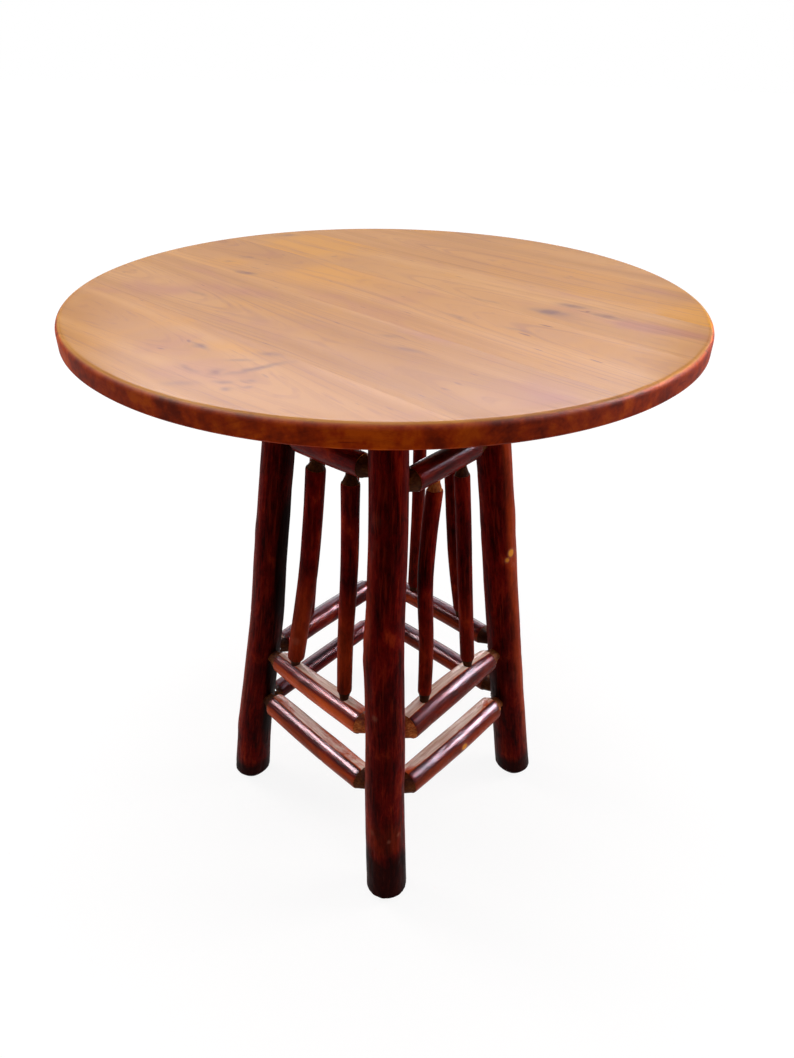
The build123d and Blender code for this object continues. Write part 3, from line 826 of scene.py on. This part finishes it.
wood_colour = mix(top_wood, pink_share, wood_colour, (0.46, 0.172, 0.068, 1.0))
line_share = steps(top_wood, rings_seen, ((0.30, grey(0.45)), (0.48, grey(0.0)), (0.75, grey(0.08))))
wood_colour = mix(top_wood, line_share, wood_colour, (0.30, 0.095, 0.030, 1.0))
pore_share = steps(top_wood, pores, ((0.30, grey(0.35)), (0.44, grey(0.0))))
wood_colour = mix(top_wood, pore_share, wood_colour, (0.34, 0.115, 0.040, 1.0))
fleck_share = steps(top_wood, flecks, ((0.20, grey(0.75)), (0.27, grey(0.0))))
wood_colour = mix(top_wood, fleck_share, wood_colour, (0.22, 0.070, 0.030, 1.0))
knot_edge = cloud(top_wood, grain, 90.0, 3.0)
knot_share = calc(top_wood, "MULTIPLY", knot, calc(top_wood, "ADD", knot_edge, 0.5))
wood_colour = mix(top_wood, knot_share, wood_colour, (0.16, 0.055, 0.035, 1.0))
rim_patches = cloud(top_wood, node(top_wood, "TexCoord").outputs["Object"], 26.0, 4.0, 0.65)
rim_tint = steps(top_wood, rim_patches, (
    (0.36, (0.22, 0.035, 0.020, 1.0)),
    (0.50, (0.50, 0.095, 0.010, 1.0)),
    (0.62, (0.74, 0.230, 0.016, 1.0)),
))
edge_colour = mix(top_wood, 1.0, wood_colour, rim_tint, "MULTIPLY")
wood_colour = mix(top_wood, side_share, wood_colour, edge_colour)
satin = steps(top_wood, side_share, ((0.0, grey(0.25)), (0.2, grey(0.55))))
worn_satin = calc(top_wood, "ADD", satin, calc(top_wood, "MULTIPLY", pores, 0.03))
bare_side = calc(top_wood, "MULTIPLY", field(top_wood, "under")["Fac"], 0.8)
top_gloss = calc(top_wood, "MAXIMUM", worn_satin, bare_side)
top_relief = bump(top_wood, rings_seen, 0.00008, 0.5)
surface(top_wood, top_shader, toned(top_wood, wood_colour), top_gloss, top_relief)

# Board tints, and the pith that each board's growth rings run around: (y, z) in metres.
board_tones = (1.0, 0.95, 0.99, 0.97, 1.0, 0.98)
pith = ((-0.345, -0.06), (-0.20, -0.05), (0.02, -0.07), (0.10, -0.05), (0.27, -0.04), (0.40, -0.06))
# Dark soft marks of knots and pitch streaks in the face: x, y, half length, half width,
# turn (degrees) and strength. Sizes are in millimetres.
marks = (
    (112, -321, 32, 5.5, 77, 0.70), (87, -364, 9, 9, 46, 0.60), (57, -378, 18, 4.5, 1, 0.50),
    (118, -376, 8, 4.5, 23, 0.55), (138, -383, 6, 5, 46, 0.75), (133, -354, 6, 4.5, 30, 0.45),
    (146, -366, 5, 4, 46, 0.45), (83, -286, 14, 7, 31, 0.50), (75, -323, 16, 4, 46, 0.45),
    (89, -409, 18, 7, 46, 0.35), (1, -328, 18, 3.5, -1, 0.75),
    (221, 96, 25, 11, 15, 0.85), (227, 143, 22, 9, 15, 0.75), (287, 136, 19, 8, 10, 0.60),
    (236, 0, 20, 3.6, 7, 0.40), (-234, -79, 19, 6, 10, 0.80), (-312, -14, 10, 5, 20, 0.45),
    (-314, -57, 9, 5, 20, 0.40), (-188, -199, 21, 4, -1, 0.40), (-401, 143, 19, 10, 60, 0.5),
    (149, -15, 25, 3.5, -5, 0.50), (124, 74, 23, 4.5, 8, 0.40), (187, -157, 22, 6, 18, 0.35),
    (137, -136, 13, 5, 20, 0.40),
)
# Broad places where the stain took golden (1) or purple pink (-1).
tints = (
    (-300, 120, 85, 95, 40, 1.3), (-150, 10, 75, 70, 40, 0.75), (-302, -54, 34, 28, 40, 0.6),
    (205, 224, 60, 38, 20, 0.6), (385, 215, 60, 90, 0, 1.5), (39, -302, 40, 18, 20, 0.6),
    (0, -127, 70, 30, 20, 0.4), (180, 310, 90, 40, 0, 0.6),
    (364, 133, 55, 15, 15, -1.2), (280, 302, 45, 28, 5, -0.9), (-144, -149, 80, 30, 17, -0.6),
    (181, -100, 60, 22, 11, -0.5), (-246, -226, 65, 36, 20, -0.5), (80, -370, 75, 42, 20, -0.45),
    (385, -135, 60, 60, 0, -0.4), (-60, -243, 70, 30, 20, -0.45), (240, 120, 75, 26, 10, -0.4),
)

lines = [-top_radius]
for share in board_shares:
    lines.append(lines[-1] + 2 * top_radius * share / sum(board_shares))

arris_steps = 7
levels = [(underside, under_chamfer, 1.0), (underside + under_chamfer, 0.0, 0.0)]
levels.append((table_height - arris_round, 0.0, 0.0))
for number in range(1, arris_steps + 1):
    turn = np.pi / 2 * number / arris_steps
    levels.append((
        table_height - arris_round * (1 - np.sin(turn)),
        arris_round * (1 - np.cos(turn)),
        1.0 if number == arris_steps else 0.0,
    ))


def board_grid(low, high, radius, ease, columns, rows):
    """Plan points of a board between two seams, as a grid from seam to seam."""
    low_y = low + ease if low > -top_radius else None
    high_y = high - ease if high < top_radius else None
    share_x = np.linspace(-1.0, 1.0, columns)
    share_y = np.linspace(0.0, 1.0, rows)
    if low_y is not None and high_y is not None:
        y = low_y + (high_y - low_y) * share_y
        half = np.sqrt(radius * radius - y * y)
        x = share_x[:, None] * half[None, :]
        y = np.repeat(y[None, :], columns, axis=0)
    else:
        seam = low_y if high_y is None else high_y
        half = np.sqrt(radius * radius - seam * seam)
        x = np.repeat((share_x * half)[:, None], rows, axis=1)
        rim = np.sqrt(radius * radius - x * x)
        if high_y is None:
            y = seam + (rim - seam) * share_y
        else:
            y = -rim + (seam + rim) * share_y
    return np.stack((x, y), axis=-1)


def spread(points, mark):
    """How strongly a soft oval mark shows at points, and how far they are off its middle."""
    middle_x, middle_y, length, width, turn, strength = mark
    away_x, away_y = points[:, 0] - middle_x / 1000, points[:, 1] - middle_y / 1000
    cos_turn, sin_turn = np.cos(np.radians(turn)), np.sin(np.radians(turn))
    along = (away_x * cos_turn + away_y * sin_turn) / (length / 1000)
    across = (away_y * cos_turn - away_x * sin_turn) / (width / 1000)
    return strength * np.exp(-along ** 2 - across ** 2), away_x, away_y


def wood_fields(points, number):
    """The growth-ring coordinates, knot marks and stain of points on a board."""
    ring_wave = 0.012
    fray = 0.004
    past_seam = 0.02
    push_length, push_strength = 0.35, 1.4
    x, y, z = points[:, 0], points[:, 1], points[:, 2]
    bent_y = y + ring_wave * noise(points * (2.2, 5.0, 1.0) + number * 5.1)
    frayed = points + fray * noise(points / (0.02, 0.008, 1.0))[:, None]
    dark = np.zeros(len(points))
    stain = np.zeros(len(points))
    first, last = lines[number] - past_seam, lines[number + 1] + past_seam
    for mark in marks:
        if not first < mark[1] / 1000 < last:
            continue
        shade, away_x, away_y = spread(frayed, mark)
        dark = np.maximum(dark, shade)
        width = mark[3] / 1000
        push = width ** 2 / ((away_x * push_length) ** 2 + away_y ** 2 + width ** 2)
        bent_y = bent_y - away_y * push * push_strength
    for tint in tints:
        if first < tint[1] / 1000 < last:
            stain += spread(frayed, tint)[0]
    pith_y, pith_z = pith[number]
    rise = (z - table_height) - pith_z + ring_wave * np.sin(x * 5 + number)
    ring = np.hypot(bent_y - pith_y, rise)
    grain_at = np.stack((x + number, ring, z + number * 3.0), axis=-1)
    return grain_at, dark, stain


columns = 260
row_width = 0.0036
hollow_size = (0.09, 0.03, 1.0)
hollow_depth = 0.00012
hollow_fade = 0.015
rim_colour_start = 0.0005
rim_colour_fade = 0.0015
sharp_board_edge = 35
weld_distance = 0.00001
for number in range(len(board_shares)):
    low, high = lines[number], lines[number + 1]
    outer = number in (0, len(board_shares) - 1)
    rows = int((high - low) / row_width)
    sheets = []
    for height, inset, eased in levels:
        plan = board_grid(low, high, top_radius - inset, seam_ease * (1 + eased), columns, rows)
        sheets.append(np.dstack((plan, np.full(plan.shape[:2], height))))
    bottom, face = sheets[0], sheets[-1]
    # the scraper leaves the face faintly hollow, but never at a joint or at the rim
    off_seam = np.minimum(face[..., 1] - low, high - face[..., 1])
    off_rim = top_radius - arris_round - np.hypot(face[..., 0], face[..., 1])
    inner = np.clip(np.minimum(off_seam, off_rim) / hollow_fade, 0.0, 1.0)
    face[..., 2] -= hollow_depth * inner * (1 + noise(face / hollow_size))
    loop = (
        [(column, 0) for column in range(columns)]
        + [(columns - 1, row) for row in range(1, rows)]
        + [(column, rows - 1) for column in range(columns - 2, -1, -1)]
        + [(0, row) for row in range(rows - 2, 0, -1)]
    )
    columns_at, rows_at = np.array(loop).T
    points = [bottom.reshape(-1, 3), face.reshape(-1, 3)]
    points += [sheet[columns_at, rows_at] for sheet in sheets[1:-1]]
    starts = np.cumsum([0] + [len(block) for block in points])
    points = np.vstack(points)
    grid = np.arange(columns * rows).reshape(columns, rows)
    quads = np.stack((grid[:-1, :-1], grid[1:, :-1], grid[1:, 1:], grid[:-1, 1:]), axis=-1).reshape(-1, 4)
    faces = [quads[:, ::-1], quads + starts[1]]
    edge_index = [grid[columns_at, rows_at]]
    edge_index += [np.arange(len(loop)) + start for start in starts[2:-1]]
    edge_index.append(grid[columns_at, rows_at] + starts[1])
    for lower, upper in zip(edge_index[:-1], edge_index[1:]):
        faces.append(np.stack((lower, np.roll(lower, -1), np.roll(upper, -1), upper), axis=-1))
    faces = np.vstack(faces)
    mesh = bpy.data.meshes.new(f"top_board_{number + 1}")
    mesh.from_pydata(points.tolist(), [], faces.tolist())
    grain_at, dark, stain = wood_fields(points, number)
    outside = np.hypot(points[:, 0], points[:, 1]) > top_radius - arris_round
    drop = np.clip((table_height - rim_colour_start - points[:, 2]) / rim_colour_fade, 0.0, 1.0)
    values = {
        "knot": dark,
        "stain": stain,
        "tone": np.full(len(points), board_tones[number]),
        "edge": drop * outside,
        "under": np.where(points[:, 2] < underside + under_chamfer / 2, 1.0, 0.0),
    }
    layer = mesh.attributes.new("grain", "FLOAT_VECTOR", "POINT")
    layer.data.foreach_set("vector", grain_at.ravel().astype(np.float32))
    for label, value in values.items():
        layer = mesh.attributes.new(label, "FLOAT", "POINT")
        layer.data.foreach_set("value", value.astype(np.float32))
    mesh.materials.append(top_wood)
    if outer:
        # the two corners of an outer board draw the grid's ends together, so they are welded
        work = bmesh.new()
        work.from_mesh(mesh)
        bmesh.ops.remove_doubles(work, verts=work.verts, dist=weld_distance)
        work.to_mesh(mesh)
        work.free()
    mesh.shade_smooth()
    mesh.set_sharp_from_angle(angle=np.radians(sharp_board_edge))
    piece = bpy.data.objects.new(f"top_board_{number + 1}_plank", mesh)
    bpy.context.scene.collection.objects.link(piece)
    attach(piece, "root")
    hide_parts(f"top_board_{number + 1}")

# ---- Battens ----
# Two flat boards run across the planks underneath, screwed up into every one of them.
# Their ends slope up to the top so that they don't show.
batten_wood, batten_shader = finish("batten_wood", 0.05)
place = node(batten_wood, "TexCoord").outputs["Object"]
batten_rings = cloud(batten_wood, stretched(batten_wood, place, (60.0, 2.5, 90.0)), 1.0, 4.0, 0.6, 0.3)
batten_colour = steps(batten_wood, batten_rings, (
    (0.30, (0.10, 0.030, 0.012, 1.0)),
    (0.50, (0.19, 0.065, 0.024, 1.0)),
    (0.72, (0.30, 0.115, 0.045, 1.0)),
))
batten_gloss = steps(batten_wood, batten_rings, ((0.3, grey(0.70)), (0.7, grey(0.55))))
batten_relief = bump(batten_wood, batten_rings, 0.0003, 0.5)
surface(batten_wood, batten_shader, batten_colour, batten_gloss, batten_relief)


def dress(names, material):
    """Gives CAD pieces, which are shown as they are, a material."""
    for name in names:
        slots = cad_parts[name].data.materials
        slots.clear()
        slots.append(material)


dress(("batten_left", "batten_right"), batten_wood)

# ---- Dowels, screws and brads ----
# Beech dowels lie across the seams. Steel screws hold the battens, and small brads are
# driven through the rail tenons from the inner side of each leg.
dowel_wood, dowel_shader = finish("dowel_wood", 0.4)
place = node(dowel_wood, "TexCoord").outputs["Object"]
dowel_fibre = cloud(dowel_wood, stretched(dowel_wood, place, (500.0, 20.0, 500.0)), 1.0)
dowel_colour = steps(dowel_wood, dowel_fibre, (
    (0.3, (0.42, 0.26, 0.14, 1.0)),
    (0.7, (0.62, 0.43, 0.26, 1.0)),
))
dowel_gloss = steps(dowel_wood, dowel_fibre, ((0.3, grey(0.6)), (0.7, grey(0.45))))
dowel_relief = bump(dowel_wood, dowel_fibre, 0.0001, 0.5)
surface(dowel_wood, dowel_shader, dowel_colour, dowel_gloss, dowel_relief)
dress(("board_dowels",), dowel_wood)

steel, steel_shader = finish("dark_steel", 0.5)
steel_shader.inputs["Metallic"].default_value = 1.0
place = node(steel, "TexCoord").outputs["Object"]
tarnish = cloud(steel, place, 900.0, 3.0)
steel_colour = steps(steel, tarnish, ((0.35, (0.16, 0.14, 0.13, 1.0)), (0.65, (0.42, 0.40, 0.38, 1.0))))
feed(steel, steel_colour, steel_shader.inputs["Base Color"])
steel_gloss = steps(steel, tarnish, ((0.35, grey(0.5)), (0.65, grey(0.3))))
feed(steel, steel_gloss, steel_shader.inputs["Roughness"])
dress(("batten_screws", "tenon_brads"), steel)
